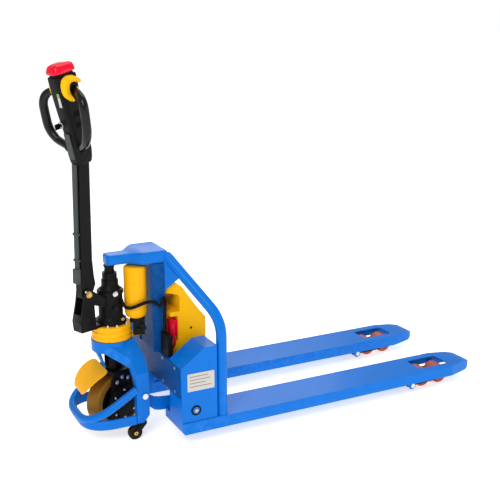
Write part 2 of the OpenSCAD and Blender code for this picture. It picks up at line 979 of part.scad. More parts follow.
module head_casting() {
    color(blue) {
        translate([0, 0, head_z])
            linear_extrude(nose_t) {
                translate([nose_x + nose_w / 2, 0])
                    circle(r = nose_w / 2);
                translate([nose_x + nose_w / 2, -nose_w / 2])
                    square([80, nose_w]);
                polygon([
                    [nose_x + nose_w, -nose_w / 2], [-540, -nose_w / 2], [-505, -column_y],
                    [head_back, -column_y], [head_back, column_y], [-505, column_y],
                    [-540, nose_w / 2], [nose_x + nose_w, nose_w / 2],
                ]);
            }
        translate([0, 0, head_z])
            linear_extrude(head_t)
                polygon([
                    [-520, -column_y + 14], [-500, -column_y], [head_back - 10, -column_y],
                    [head_back, -column_y + 10], [head_back, column_y - 10], [head_back - 10, column_y],
                    [-500, column_y], [-520, column_y - 14],
                ]);
    }
}

tube_bend_z = 437; // height of the frame tube's bend
tube_top = [head_back + 6, 80, head_z + 6];

module frame_tube(left) {
    foot = [tube_x, tube_y, fork_top];
    corner = [tube_x, tube_y, tube_bend_z];
    back = column_x + column_deep;
    reach = unit([tube_top[0] - corner[0], tube_top[1] - corner[1], tube_top[2] - corner[2]]);
    low = corner + reach * (575 - corner[2]) / reach[2];
    high = corner + reach * (600 - corner[2]) / reach[2];
    from = [back - 3, column_y - 8];
    color(blue)
        on_side(left)
            difference() {
                union() {
                    swept(concat([foot], bend(foot, corner, tube_top, 62, 10), [tube_top]), tube_d / 2, 20);
                    // gusset between the column's rear edge and the tube
                    translate([from[0], from[1], 0])
                        rotate([0, 0, atan2(low[1] - from[1], low[0] - from[0])])
                            rotate([90, 0, 0])
                                linear_extrude(6)
                                    polygon([
                                        [0, head_z], [0, 506], [norm([low[0], low[1]] - from), 575],
                                        [norm([high[0], high[1]] - from), 600],
                                    ]);
                }
                block([-700, -10, head_z - 200], [head_back + 30, column_y, 900]);
                block([-700, -10, head_z], [head_back, 200, 900]);
                block([-700, 0, 300], [back, 200, 900]);
            }
}

module frame_tube_left() {
    frame_tube(true);
}

module frame_tube_right() {
    frame_tube(false);
}

slope_x = -392; // where the box's sloping top ends
root_x = -345; // where the fork's full-width root starts

module box_outline(inset) {
    i = inset;
    polygon([
        [box_front + i, fork_top], [box_front + i, box_front_z - i * 0.4],
        [slope_x + i * 0.4, box_back_z - 2 - i], [root_x - i, box_back_z - i], [root_x - i, fork_top],
    ]);
}

module side_box(left) {
    out = fork_span / 2;
    color(blue)
        on_side(left)
            difference() {
                union() {
                    difference() {
                        plate_y(box_in, box_out)
                            box_outline(0);
                        plate_y(box_in + box_wall, box_out - box_wall)
                            box_outline(box_wall);
                    }
                    // the fork's root: an open channel that runs on under the box
                    difference() {
                        plate_y(root_in, out)
                            polygon([
                                [box_front, fork_low + 12], [box_front + 9, fork_low], [heel_x, fork_low],
                                [heel_x, fork_top], [box_front, fork_top],
                            ]);
                        block([box_front + 9, root_in + fork_wall, 0],
                            [heel_x + 1, out - fork_wall, fork_top - fork_wall]);
                    }
                }
                block([box_front + 10, box_in + box_wall, fork_top - fork_wall - 1],
                    [root_x - 4, box_out - box_wall, fork_top + 1]);
                bar_y(rocker_x, rocker_z, rocker_d + 2 * fit, 0, 400);
            }
}

module side_box_left() {
    side_box(true);
}

module side_box_right() {
    side_box(false);
}

member_x = box_front + 26; // back of the cross member

// The member between the side boxes, with the battery's tray welded behind it.
module cross_member() {
    color(dark_blue) {
        difference() {
            block([box_front + 1, -box_in, 196], [member_x, box_in, box_front_z]);
            block([box_front + 5, -box_in + 6, 190], [member_x - 4, box_in - 6, box_front_z - 5]);
        }
        plate_y(-box_in, box_in)
            polygon([
                [member_x - 2, 250], [-440, 264 - gap], [-315, 329 - gap], [-315, 324 - gap],
                [member_x - 2, 244],
            ]);
    }
}

cover_t = 3;
cover_low = 176;

module front_cover() {
    color(dark_blue)
        difference() {
            block([box_front - cover_t - gap, -box_out + 10, cover_low],
                [box_front - gap, box_out - 10, box_front_z - 2]);
            for (p = screw_at)
                translate([box_front - 10, p[0], p[1]])
                    rotate([0, 90, 0])
                        cylinder(h = 20, r = 3 + fit);
        }
}

screw_at = [for (y = [-220, -110, 110, 220], z = [190, 276]) [y, z]];

module cover_screws() {
    color("#e8eaec")
        for (p = screw_at)
            translate([box_front - cover_t - gap, p[0], p[1]])
                rotate([0, 90, 0]) {
                    translate([0, 0, -3])
                        cylinder(h = 3, r = 6);
                    cylinder(h = cover_t + gap, r = 3);
                }
}

module controller() {
    color("#222428")
        block([box_front + 2, -box_in + 12, box_front_z], [box_front + 22, -column_y - 6, box_front_z + 80]);
}

battery_y = 112; // half width of the battery
battery_x = -450; // its front plane

module battery_outline() {
    polygon([
        [battery_x + 14, 266.2], [battery_x, 290], [battery_x, 500], [battery_x + 2, 552], [-405, 530],
        [-352, 452], [-315, 405], [-315, 329.1],
    ]);
}

module battery_case() {
    color(yellow)
        difference() {
            plate_y(-battery_y, battery_y)
                battery_outline();
            // finger groove below the carrying edge, and the plug's recess
            block([battery_x - 10, -battery_y - 1, 440], [battery_x + 36, battery_y + 1, 498]);
            block([battery_x - 10, -battery_y - 1, 330], [battery_x + 28, -battery_y + 46, 424]);
            // upper corners, cut back for the gussets
            for (s = [0, 1])
                on_side(s == 1)
                    translate([0, 0, 490])
                        linear_extrude(100)
                            polygon([[battery_x - 9, 54], [-384, 136], [battery_x - 9, 136]]);
        }
}

module battery_plug() {
    color("#c8202c")
        block([battery_x + 2, -battery_y + 4, 352], [battery_x + 28, -battery_y + 40, 408]);
}

// ---- forks ----

module fork_plan() {
    c = tip_x - tip_r;
    run = tip_taper - tip_r;
    reach = sqrt(run * run + fork_w * fork_w / 4);
    a = atan2(fork_w / 2, -run) - acos(tip_r / reach);
    translate([c, 0])
        circle(r = tip_r);
    polygon([
        [heel_x, -fork_w / 2], [tip_x - tip_taper, -fork_w / 2], [c + tip_r * cos(a), -tip_r * sin(a)],
        [c + tip_r * cos(a), tip_r * sin(a)], [tip_x - tip_taper, fork_w / 2], [heel_x, fork_w / 2],
    ]);
}

module fork_side(top, low) {
    polygon([
        [heel_x - 1, low], [tip_x - 40, low], [tip_x + 1, low + 14], [tip_x + 1, top - 20],
        [tip_x - 26, top - 6], [tip_x - 62, top], [heel_x - 1, top],
    ]);
}

pin_head_d = 18; // heads of the yoke pins
cut_r = 14; // corner radius of the roller cut-out
cut_w = 88; // its width
cut_from = bogie_x - 69;
cut_to = bogie_x + 70;

// One fork about its own middle line.
module fork_body() {
    inner = 2 * (fork_w / 2 - fork_wall);
    difference() {
        intersection() {
            translate([0, 0, fork_low])
                linear_extrude(fork_skirt)
                    fork_plan();
            plate_y(-fork_w, fork_w)
                fork_side(fork_top, fork_low);
        }
        // the open channel below the top plate
        translate([0, 0, fork_low - 1])
            linear_extrude(fork_skirt + 1 - fork_wall) {
                translate([heel_x - 1, -inner / 2])
                    square([tip_x - tip_taper - heel_x + 1, inner]);
                translate([tip_x - tip_taper - 1, -tip_r + fork_wall])
                    square([tip_taper - tip_r + 8, 2 * (tip_r - fork_wall)]);
            }
        // the opening over the load rollers
        translate([(cut_from + cut_to) / 2, 0, fork_top - 20])
            linear_extrude(30)
                round_rect([cut_to - cut_from, cut_w], cut_r);
    }
}

module hinge_lug() {
    difference() {
        plate_y(fork_w / 2 - fork_wall - 6, fork_w / 2 - fork_wall) {
            translate([yoke_x, yoke_z])
                circle(r = 16);
            polygon([
                [yoke_x - 34, fork_low + 12], [yoke_x - 16, yoke_z], [yoke_x + 16, yoke_z],
                [yoke_x + 34, fork_low + 12],
            ]);
        }
        bar_y(yoke_x, yoke_z, pin_d + 2 * fit, 0, 100);
    }
}

module fork(left) {
    color(blue)
        translate([0, left ? fork_y : -fork_y, 0])
            difference() {
                union() {
                    fork_body();
                    hinge_lug();
                    mirror([0, 1, 0])
                        hinge_lug();
                }
                bar_y(yoke_x, yoke_z, pin_d + 2 * fit, -100, 100);
                for (s = [0, 1])
                    on_side(s == 1)
                        bar_y(yoke_x, yoke_z, pin_head_d + 2 * gap, fork_w / 2 - fork_wall, 100);
            }
}

module fork_left() {
    fork(true);
}

module fork_right() {
    fork(false);
}

module fork_pins() {
    color(steel)
        for (s = [-1, 1])
            translate([0, s * fork_y, 0]) {
                bar_y(yoke_x, yoke_z, pin_d, -fork_w / 2, fork_w / 2);
                for (e = [0, 1])
                    on_side(e == 1)
                        bar_y(yoke_x, yoke_z, pin_head_d, fork_w / 2 - fork_wall, fork_w / 2);
            }
}

// ---- lift linkage ----

rocker_arm_t = 8;
rocker_arm_in = root_in - 2.3 - rocker_arm_t; // inner face of the rocker's front arms

// Front arm in its own plane: the rocker shaft at the origin, the leg pin at [arm, 0].
module rocker_arm_outline(arm, far) {
    eye = pin_d / 2 + slack + 6.5;
    circle(r = 27);
    translate([arm - 2, 0])
        circle(r = eye);
    translate([far + 1, 0])
        circle(r = eye);
    translate([arm - 2, -eye])
        square([far - arm + 3, 2 * eye]);
    polygon(arm * [
        [1.034, 0.1], [0.829, -0.031], [0.637, -0.099], [0.494, -0.102], [0.186, -0.051], [0.03, 0.15],
        [-0.06, -0.182], [0.116, -0.354], [0.26, -0.41], [0.415, -0.438], [0.558, -0.436],
        [0.702, -0.363], [0.871, -0.310], [1.09, -0.12],
    ]);
}

module rocker_arm() {
    arm = norm([arm_run, arm_rise]);
    far = norm([arm_run, max(arm_rise, lift_travel - arm_rise)]);
    turn = atan(arm_rise / arm_run);
    // front arm, slotted where the leg pin slides
    difference() {
        plate_y(rocker_arm_in, rocker_arm_in + rocker_arm_t)
            translate([rocker_x, rocker_z])
                mirror([1, 0])
                    rotate(turn)
                        rocker_arm_outline(arm, far);
        plate_y(0, 400)
            translate([rocker_x, rocker_z])
                mirror([1, 0])
                    rotate(turn) {
                        translate([arm - 2, -pin_d / 2 - slack])
                            square([far - arm + 3, pin_d + 2 * slack]);
                        translate([arm - 2, 0])
                            circle(r = pin_d / 2 + slack);
                        translate([far + 1, 0])
                            circle(r = pin_d / 2 + slack);
                    }
    }
    // lever that pushes the rod, hanging inside the side box
    plate_y(fork_y - 17, fork_y - 9) {
        translate([rocker_x, rocker_z])
            circle(r = 24);
        translate(rod_front)
            circle(r = 12);
        translate([rocker_x, rocker_z])
            rotate([0, 0, -90 - rocker_swing / 2])
                translate([0, -12])
                    square([rocker_lever, 24]);
    }
    bar_y(rod_front[0], rod_front[1], 10, fork_y - 10, fork_y + 9);
}

module rocker() {
    color(blue)
        for (s = [0, 1])
            on_side(s == 1)
                rocker_arm();
    color(steel)
        bar_y(rocker_x, rocker_z, rocker_d, -box_out - 2, box_out + 2);
}

module push_rod(left) {
    h = 14;
    drop_x = -400;
    color("#8d9298")
        translate([0, left ? fork_y : -fork_y, 0])
            difference() {
                plate_y(-6, 6) {
                    translate(rod_front)
                        circle(r = 12);
                    translate(rod_back)
                        circle(r = 11);
                    polygon([
                        [rod_front[0], rod_front[1] - 10], [drop_x, rod_back[1] - h / 2],
                        [rod_back[0], rod_back[1] - h / 2], [rod_back[0], rod_back[1] + h / 2],
                        [drop_x + 6, rod_back[1] + h / 2], [rod_front[0], rod_front[1] + 11],
                    ]);
                }
                for (p = [rod_front, rod_back])
                    plate_y(-10, 10)
                        translate([p[0], p[1] + (p == rod_back ? 2.5 : -1.7)])
                            round_rect([11.6, 18], 5);
            }
}

module push_rod_left() {
    push_rod(true);
}

module push_rod_right() {
    push_rod(false);
}

yoke_in = roller_w / 2 + 11; // inner face of the yoke's arms
yoke_t = 8;

module yoke_half() {
    difference() {
        union() {
            plate_y(yoke_in, yoke_in + yoke_t) {
                translate([yoke_x, yoke_z])
                    circle(r = 15);
                translate([bogie_x, roller_z])
                    circle(r = 14);
                polygon([
                    [yoke_x, yoke_z - 13], [bogie_x, roller_z - 12], [bogie_x, roller_z + 12],
                    [yoke_x, yoke_z + 13],
                ]);
            }
            bar_y(yoke_x, yoke_z, 30, 8, yoke_in + 1);
            plate_y(8, 15) {
                translate([yoke_x, yoke_z])
                    circle(r = 15);
                translate(rod_back)
                    circle(r = 9);
                polygon([
                    [yoke_x - 14, yoke_z - 4], [yoke_x + 8, yoke_z + 10], rod_back + [8, 4],
                    rod_back + [-8, -4],
                ]);
            }
        }
        bar_y(yoke_x, yoke_z, pin_d + 2 * fit, -100, 100);
        bar_y(bogie_x, roller_z, pin_d + 2 * fit, 0, 100);
    }
}

module yoke(left) {
    color("#1f2023")
        translate([0, left ? fork_y : -fork_y, 0]) {
            yoke_half();
            mirror([0, 1, 0])
                yoke_half();
            bar_y(rod_back[0], rod_back[1], 10, -14, 14);
        }
}

module yoke_left() {
    yoke(true);
}

module yoke_right() {
    yoke(false);
}

bogie_in = roller_w / 2 + 2; // inner face of a bogie's side plates
bogie_t = 6;

module bogie_half() {
    bar_y(bogie_x, roller_z, pin_d, bogie_in, yoke_in + yoke_t + 2);
    plate_y(bogie_in, bogie_in + bogie_t) {
        for (s = [-1, 1])
            translate([bogie_x + s * roller_pitch / 2, roller_z])
                circle(r = 15);
        translate([bogie_x, roller_z])
            square([roller_pitch, 26], center = true);
    }
}

module bogie(left) {
    color("#24262a")
        translate([0, left ? fork_y : -fork_y, 0]) {
            bogie_half();
            mirror([0, 1, 0])
                bogie_half();
            for (s = [-1, 1])
                bar_y(bogie_x + s * roller_pitch / 2, roller_z, pin_d, -bogie_in - 3, bogie_in + 3);
        }
}

module bogie_left() {
    bogie(true);
}

module bogie_right() {
    bogie(false);
}

module load_roller(front, left) {
    color("#c66a58")
        translate([bogie_x + (front ? 0.5 : -0.5) * roller_pitch, left ? fork_y : -fork_y, roller_z])
            rotate([90, 0, 0])
                rotate_extrude($fn = 72)
                    polygon([
                        [pin_d / 2 + fit, -roller_w / 2], [roller_d / 2 - 4, -roller_w / 2],
                        [roller_d / 2, -roller_w / 2 + 4], [roller_d / 2, roller_w / 2 - 4],
                        [roller_d / 2 - 4, roller_w / 2], [pin_d / 2 + fit, roller_w / 2],
                    ]);
}

module roller_front_left() {
    load_roller(true, true);
}

module roller_front_right() {
    load_roller(true, false);
}

module roller_rear_left() {
    load_roller(false, true);
}

module roller_rear_right() {
    load_roller(false, false);
}

base_arch();
bumper_hoop();
leg_pins();
steer_bearing();
wheel_guard();
caster_left();
caster_right();
caster_wheel_left();
caster_wheel_right();
drive_fork();
drive_axle();
drive_rim();
drive_tyre();
turntable_ring();
ring_bolts();
pump_body();
lifting_ram();
power_pack();
valve_block();
tiller_bracket();
tiller_pin();
pump_cable();
frame_cable();
tiller_tube();
cable_cover();
head_shell();
hand_loop_left();
hand_loop_right();
throttle();
belly_button();
lift_button();
lower_button();
key_switch();
key();
column();
head_casting();
frame_tube_left();
frame_tube_right();
side_box_left();
side_box_right();
cross_member();
front_cover();
cover_screws();
controller();
battery_case();
battery_plug();
fork_left();
fork_right();
rocker();
push_rod_left();
push_rod_right();
yoke_left();
yoke_right();
fork_pins();
bogie_left();
bogie_right();
roller_front_left();
roller_front_right();
roller_rear_left();
roller_rear_right();
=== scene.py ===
import json
import math

import bmesh
import bpy
import numpy as np
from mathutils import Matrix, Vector


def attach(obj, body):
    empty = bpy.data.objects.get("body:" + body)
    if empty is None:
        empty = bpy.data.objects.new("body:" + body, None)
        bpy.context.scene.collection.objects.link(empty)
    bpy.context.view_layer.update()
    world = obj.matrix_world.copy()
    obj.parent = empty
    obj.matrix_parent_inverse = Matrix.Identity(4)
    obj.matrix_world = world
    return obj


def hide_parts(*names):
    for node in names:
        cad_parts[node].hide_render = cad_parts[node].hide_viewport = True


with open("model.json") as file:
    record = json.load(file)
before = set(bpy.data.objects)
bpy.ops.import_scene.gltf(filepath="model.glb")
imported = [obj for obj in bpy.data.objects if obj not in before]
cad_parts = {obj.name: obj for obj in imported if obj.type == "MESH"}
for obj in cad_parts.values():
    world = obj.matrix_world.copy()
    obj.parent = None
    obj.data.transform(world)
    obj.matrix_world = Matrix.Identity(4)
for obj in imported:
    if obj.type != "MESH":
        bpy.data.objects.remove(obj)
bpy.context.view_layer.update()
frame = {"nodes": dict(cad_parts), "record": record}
nodes = frame["nodes"]
BODY = {n: b for b, group in frame["record"]["behaviour"]["bodies"].items() for n in group}

# ---- frames of the moving groups, in metres ----

STEER_X = -0.632
STEER_REST = math.radians(20.0)
HINGE = (-0.110, 0.0, 0.532)
TILLER_LEAN = math.radians(1.5)
TILLER_LEN = 0.462
HEAD_LEAN = math.radians(13.5)


def turn_y(a):
    """4x4 matrix that turns by a about Y."""
    c, s = math.cos(a), math.sin(a)
    return np.array([[c, 0, s, 0], [0, 1, 0, 0], [-s, 0, c, 0], [0, 0, 0, 1.0]])


def turn_z(a):
    """4x4 matrix that turns by a about Z."""
    c, s = math.cos(a), math.sin(a)
    return np.array([[c, -s, 0, 0], [s, c, 0, 0], [0, 0, 1, 0], [0, 0, 0, 1.0]])


def shift(x, y, z):
    """4x4 matrix that moves by x, y, z."""
    m = np.eye(4)
    m[:3, 3] = (x, y, z)
    return m


STEERED = shift(STEER_X, 0, 0) @ turn_z(STEER_REST)
TILLER = STEERED @ shift(*HINGE) @ turn_y(TILLER_LEAN)
HEAD = TILLER @ shift(0, 0, TILLER_LEN) @ turn_y(-HEAD_LEAN - TILLER_LEAN)
HERE = np.eye(4)
SIDES = (("left", 1), ("right", -1))


def placed(points, m):
    """Points (n, 3) taken through the 4x4 matrix m."""
    p = np.asarray(points, float)
    return p @ m[:3, :3].T + m[:3, 3]


# ---- materials ----


def finish_group():
    """Shared node group: colour drift, worn edges, uneven gloss and a fine grain.

    colour = base * (1 + drift * (noise - 0.5)), mixed to the edge colour where the surface is
    sharply convex; roughness = rough + 0.16 * (noise - 0.5); height = grain noise.
    """
    g = bpy.data.node_groups.new("finish", "ShaderNodeTree")
    new = g.interface.new_socket
    new("Base", in_out="INPUT", socket_type="NodeSocketColor")
    new("Edge", in_out="INPUT", socket_type="NodeSocketColor")
    for name in ("Rough", "Drift", "Wear", "Grain", "Grain Scale"):
        new(name, in_out="INPUT", socket_type="NodeSocketFloat")
    new("Color", in_out="OUTPUT", socket_type="NodeSocketColor")
    new("Roughness", in_out="OUTPUT", socket_type="NodeSocketFloat")
    new("Normal", in_out="OUTPUT", socket_type="NodeSocketVector")
    n, link = g.nodes, g.links.new
    gin, gout = n.new("NodeGroupInput"), n.new("NodeGroupOutput")
    where = n.new("ShaderNodeTexCoord")

    def noise(scale, detail):
        t = n.new("ShaderNodeTexNoise")
        t.inputs["Scale"].default_value = scale
        t.inputs["Detail"].default_value = detail
        link(where.outputs["Object"], t.inputs["Vector"])
        return t

    def math_node(op, a, b):
        m = n.new("ShaderNodeMath")
        m.operation = op
        for i, v in enumerate((a, b)):
            if isinstance(v, (int, float)):
                m.inputs[i].default_value = v
            else:
                link(v, m.inputs[i])
        return m.outputs[0]

    broad, patch, fine = noise(5.0, 5.0), noise(42.0, 4.0), noise(700.0, 2.0)
    link(gin.outputs["Grain Scale"], fine.inputs["Scale"])
    drift = math_node("MULTIPLY", math_node("SUBTRACT", broad.outputs[0], 0.5), gin.outputs["Drift"])
    hsv = n.new("ShaderNodeHueSaturation")
    link(gin.outputs["Base"], hsv.inputs["Color"])
    link(math_node("ADD", drift, 1.0), hsv.inputs["Value"])
    geo = n.new("ShaderNodeNewGeometry")
    sharp = n.new("ShaderNodeMapRange")
    link(geo.outputs["Pointiness"], sharp.inputs["Value"])
    sharp.inputs["From Min"].default_value = 0.53
    sharp.inputs["From Max"].default_value = 0.62
    chipped = n.new("ShaderNodeMapRange")
    link(patch.outputs[0], chipped.inputs["Value"])
    chipped.inputs["From Min"].default_value = 0.45
    chipped.inputs["From Max"].default_value = 0.62
    worn = math_node("MULTIPLY", math_node("MULTIPLY", sharp.outputs[0], chipped.outputs[0]),
                     gin.outputs["Wear"])
    mix = n.new("ShaderNodeMix")
    mix.data_type = "RGBA"
    link(worn, mix.inputs["Factor"])
    link(hsv.outputs["Color"], mix.inputs["A"])
    link(gin.outputs["Edge"], mix.inputs["B"])
    link(mix.outputs["Result"], gout.inputs["Color"])
    uneven = math_node("MULTIPLY", math_node("SUBTRACT", patch.outputs[0], 0.5), 0.16)
    link(math_node("MAXIMUM", math_node("ADD", gin.outputs["Rough"], uneven), 0.04),
         gout.inputs["Roughness"])
    bump = n.new("ShaderNodeBump")
    bump.inputs["Distance"].default_value = 0.0005
    link(gin.outputs["Grain"], bump.inputs["Strength"])
    link(fine.outputs[0], bump.inputs["Height"])
    link(bump.outputs["Normal"], gout.inputs["Normal"])
    return g


FINISH = finish_group()


def material(name, base, rough, metal=0.0, coat=0.0, drift=0.10, wear=0.0, grain=0.05, scale=700.0,
             spec=0.30):
    """A surface with the shared finish; base is linear RGB, and worn edges are a lighter base."""
    m = bpy.data.materials.new(name)
    m.use_nodes = True
    n, link = m.node_tree.nodes, m.node_tree.links.new
    b = n["Principled BSDF"]
    f = n.new("ShaderNodeGroup")
    f.node_tree = FINISH
    f.inputs["Base"].default_value = (*base, 1)
    f.inputs["Edge"].default_value = (*[min(1, c * 1.6 + 0.04) for c in base], 1)
    for key, v in (("Rough", rough), ("Drift", drift), ("Wear", wear), ("Grain", grain),
                   ("Grain Scale", scale)):
        f.inputs[key].default_value = v
    for key, to in (("Color", "Base Color"), ("Roughness", "Roughness"), ("Normal", "Normal")):
        link(f.outputs[key], b.inputs[to])
    b.inputs["Metallic"].default_value = metal
    b.inputs["Coat Weight"].default_value = coat
    b.inputs["Coat Roughness"].default_value = 0.12
    b.inputs["Specular IOR Level"].default_value = spec
    b.inputs["IOR"].default_value = 1.5 if metal else 1.28
    return m


BLUE = material("blue paint", (0.0003, 0.165, 0.640), 0.34, coat=0.06, wear=0.30, drift=0.22)
# Painted shade: a darker, duller copy of the blue paint for parts that sit in shade.
SHADED_BLUE = material("painted shade blue", (0.001, 0.070, 0.280), 0.42, wear=0.3, drift=0.3, spec=0.2)
YELLOW = material("yellow paint", (0.980, 0.460, 0.001), 0.36, coat=0.05, wear=0.25, drift=0.16)
CASE = material("yellow plastic", (0.980, 0.490, 0.002), 0.42, wear=0.1, drift=0.12, grain=0.16, scale=900.0)
BLACK = material("black paint", (0.0045, 0.0042, 0.0042), 0.36, wear=0.35, drift=0.5)
CAST = material("black casting", (0.0050, 0.0052, 0.0056), 0.42, wear=0.25, grain=0.45, scale=420.0)
SHELL = material("black moulding", (0.0060, 0.0056, 0.0058), 0.46, wear=0.2, grain=0.30, scale=1100.0)
GRIP = material("grip moulding", (0.0060, 0.0048, 0.0040), 0.24, coat=0.3, grain=0.08, scale=1100.0)
GREY = material("grey strip", (0.060, 0.066, 0.070), 0.46, wear=0.2, grain=0.2)
KEYS = material("key black", (0.0015, 0.0015, 0.0018), 0.34, grain=0.05, spec=0.15)
STEEL = material("zinc steel", (0.62, 0.63, 0.64), 0.30, metal=1.0, drift=0.3, grain=0.12)
ROD = material("bar steel", (0.33, 0.34, 0.35), 0.42, metal=1.0, drift=0.4, grain=0.25)
CHROME = material("hard chrome", (0.86, 0.87, 0.88), 0.09, metal=1.0, drift=0.05, grain=0.02)
BRASS = material("brass", (0.62, 0.40, 0.12), 0.27, metal=1.0, drift=0.25, grain=0.08)
TYRE = material("tan tyre", (0.260, 0.125, 0.014), 0.50, drift=0.55, grain=0.25, scale=260.0)
ROLLER = material("salmon roller", (0.46, 0.115, 0.075), 0.46, drift=0.35, grain=0.15)
NYLON = material("dark nylon", (0.012, 0.008, 0.005), 0.45, drift=0.5, grain=0.2)
RED = material("red plastic", (0.780, 0.0, 0.022), 0.22, coat=0.35, drift=0.10, grain=0.03)
CABLE = material("cable sheath", (0.0045, 0.0042, 0.0045), 0.36, drift=0.4, grain=0.25)
PLATE = material("label plate", (0.60, 0.57, 0.53), 0.40, drift=0.15, grain=0.03)
PRINT = material("label print", (0.26, 0.24, 0.25), 0.50, drift=0.1, grain=0.02)
GREEN = material("label green", (0.22, 0.42, 0.04), 0.42, grain=0.02)

# ---- making pieces ----


def piece(name, verts, faces, mat, body, sharp=38.0, stands_for=()):
    """A mesh from points and faces, riding on a CAD body."""
    me = bpy.data.meshes.new(name)
    me.from_pydata([tuple(map(float, v)) for v in verts], [], [tuple(map(int, f)) for f in faces])
    return shown(name, me, mat, body, sharp, stands_for)


def shown(name, me, mat, body, sharp=38.0, stands_for=()):
    """Mesh me as a smooth-shaded object on its body; edges over sharp degrees stay sharp."""
    bm = bmesh.new()
    bm.from_mesh(me)
    bmesh.ops.recalc_face_normals(bm, faces=bm.faces)
    bm.to_mesh(me)
    bm.free()
    me.polygons.foreach_set("use_smooth", [True] * len(me.polygons))
    me.set_sharp_from_angle(angle=math.radians(sharp))
    me.materials.append(mat)
    o = bpy.data.objects.new(name, me)
    bpy.context.scene.collection.objects.link(o)
    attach(o, body)
    if stands_for:
        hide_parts(*stands_for)
    return o


def rounded(o, width, segments=2):
    """Rounds o's edges of more than 32 degrees by width metres."""
    b = o.modifiers.new("round", "BEVEL")
    b.width = width
    b.segments = segments
    b.limit_method = "ANGLE"
    b.angle_limit = math.radians(32.0)
    b.harden_normals = True
    b.miter_outer = "MITER_ARC"
    return o


def skin(node, mat, width=0.0012, segments=2):
    """The CAD node itself, with its flat faces joined up and its edges rounded."""
    me = bpy.data.meshes.new("skin_" + node)
    bm = bmesh.new()
    bm.from_mesh(nodes[node].data)
    bmesh.ops.remove_doubles(bm, verts=bm.verts, dist=2e-5)
    bmesh.ops.dissolve_limit(bm, angle_limit=math.radians(0.7), verts=bm.verts, edges=bm.edges)
    bm.to_mesh(me)
    bm.free()
    rounded(shown("skin_" + node, me, mat, BODY[node], stands_for=(node,)), width, segments)


def rings(ring_list):
    """Vertices and faces of a closed skin through rings that have the same number of points."""
    r = np.asarray(ring_list, float)
    n, k = r.shape[:2]
    v = r.reshape(-1, 3)
    i = np.arange(n - 1)[:, None] * k
    j = np.arange(k)[None, :]
    a, b = (i + j).ravel(), (i + (j + 1) % k).ravel()
    faces = [tuple(f) for f in np.stack([a, b, b + k, a + k], 1)]
    faces += [tuple(range(k - 1, -1, -1)), tuple((n - 1) * k + np.arange(k))]
    return v, faces


def spline(points, steps):
    """Catmull-Rom curve through points, with that many steps between neighbours."""
    p = np.asarray(points, float)
    p = np.vstack([2 * p[0] - p[1], p, 2 * p[-1] - p[-2]])
    u = np.arange(steps)[:, None] / steps
    out = []
    for a, b, c, d in zip(p[:-3], p[1:-2], p[2:-1], p[3:]):
        out.append(0.5 * (2 * b + (c - a) * u + (2 * a - 5 * b + 4 * c - d) * u**2
                          + (3 * b - a - 3 * c + d) * u**3))
    return np.vstack(out + [p[-2][None]])


def bend(a, b, c, d, n):
    """Round bend at corner b: a parabola from d before it to d after it."""
    a, b, c = (np.asarray(v, float) for v in (a, b, c))
    s = b + d * (a - b) / np.linalg.norm(a - b)
    e = b + d * (c - b) / np.linalg.norm(c - b)
    u = np.linspace(0, 1, n)[:, None]
    return (1 - u) ** 2 * s + 2 * u * (1 - u) * b + u**2 * e


def tube_rings(path, radius, sides, flat=1.0, up=(0, 0, 1)):
    """Rings of a tube: ring = path + r * (cos t * side * flat + sin t * normal)."""
    p = np.asarray(path, float)
    t = np.gradient(p, axis=0)
    t /= np.linalg.norm(t, axis=1)[:, None]
    r = np.broadcast_to(np.asarray(radius, float), (len(p),))
    side = np.cross(t, np.asarray(up, float))
    side /= np.linalg.norm(side, axis=1)[:, None]
    over = np.cross(side, t)
    a = np.linspace(0, 2 * math.pi, sides, endpoint=False)
    return p[:, None] + r[:, None, None] * (
        flat * np.cos(a)[None, :, None] * side[:, None] + np.sin(a)[None, :, None] * over[:, None])


def tube(name, path, radius, mat, body, m=HERE, sides=24, flat=1.0, up=(0, 0, 1), stands_for=()):
    """A round or oval tube along a path."""
    v, f = rings(tube_rings(path, radius, sides, flat, up))
    return piece(name, placed(v, m), f, mat, body, sharp=60.0, stands_for=stands_for)


def turned(name, profile, mat, body, m=HERE, sides=48):
    """A turned part: profile is (radius, height) pairs, turned about Z."""
    a = np.linspace(0, 2 * math.pi, sides, endpoint=False)
    ring_list = [np.stack([r * np.cos(a), r * np.sin(a), np.full(sides, z)], 1) for r, z in profile]
    v, f = rings(ring_list)
    piece(name, placed(v, m), f, mat, body)


def oval(a, b, power, sides):
    """Superellipse |x/a|^power + |y/b|^power = 1 as (sides, 2) points."""
    t = np.linspace(0, 2 * math.pi, sides, endpoint=False)
    c, s = np.cos(t), np.sin(t)
    return np.stack([a * np.sign(c) * np.abs(c) ** (2 / power),
                     b * np.sign(s) * np.abs(s) ** (2 / power)], 1)


def lofted(name, sections, power, mat, body, m, sides=64, steps=6, stands_for=()):
    """A skin through superellipses: sections are (z, middle x, half depth, half width)."""
    s = spline(sections, steps)
    ring_list = []
    for z, cx, a, b in s:
        o = oval(a, b, power, sides)
        ring_list.append(np.column_stack([o[:, 0] + cx, o[:, 1], np.full(sides, z)]))
    v, f = rings(ring_list)
    piece(name, placed(v, m), f, mat, body, sharp=50.0, stands_for=stands_for)


def slab(name, low, high, mat, body, m=HERE, width=0.0008, segments=2):
    """A block with rounded edges."""
    (x0, y0, z0), (x1, y1, z1) = low, high
    v = [(x, y, z) for x in (x0, x1) for y in (y0, y1) for z in (z0, z1)]
    f = [(0, 1, 3, 2), (4, 6, 7, 5), (0, 4, 5, 1), (2, 3, 7, 6), (0, 2, 6, 4), (1, 5, 7, 3)]
    rounded(piece(name, placed(v, m), f, mat, body), width, segments)


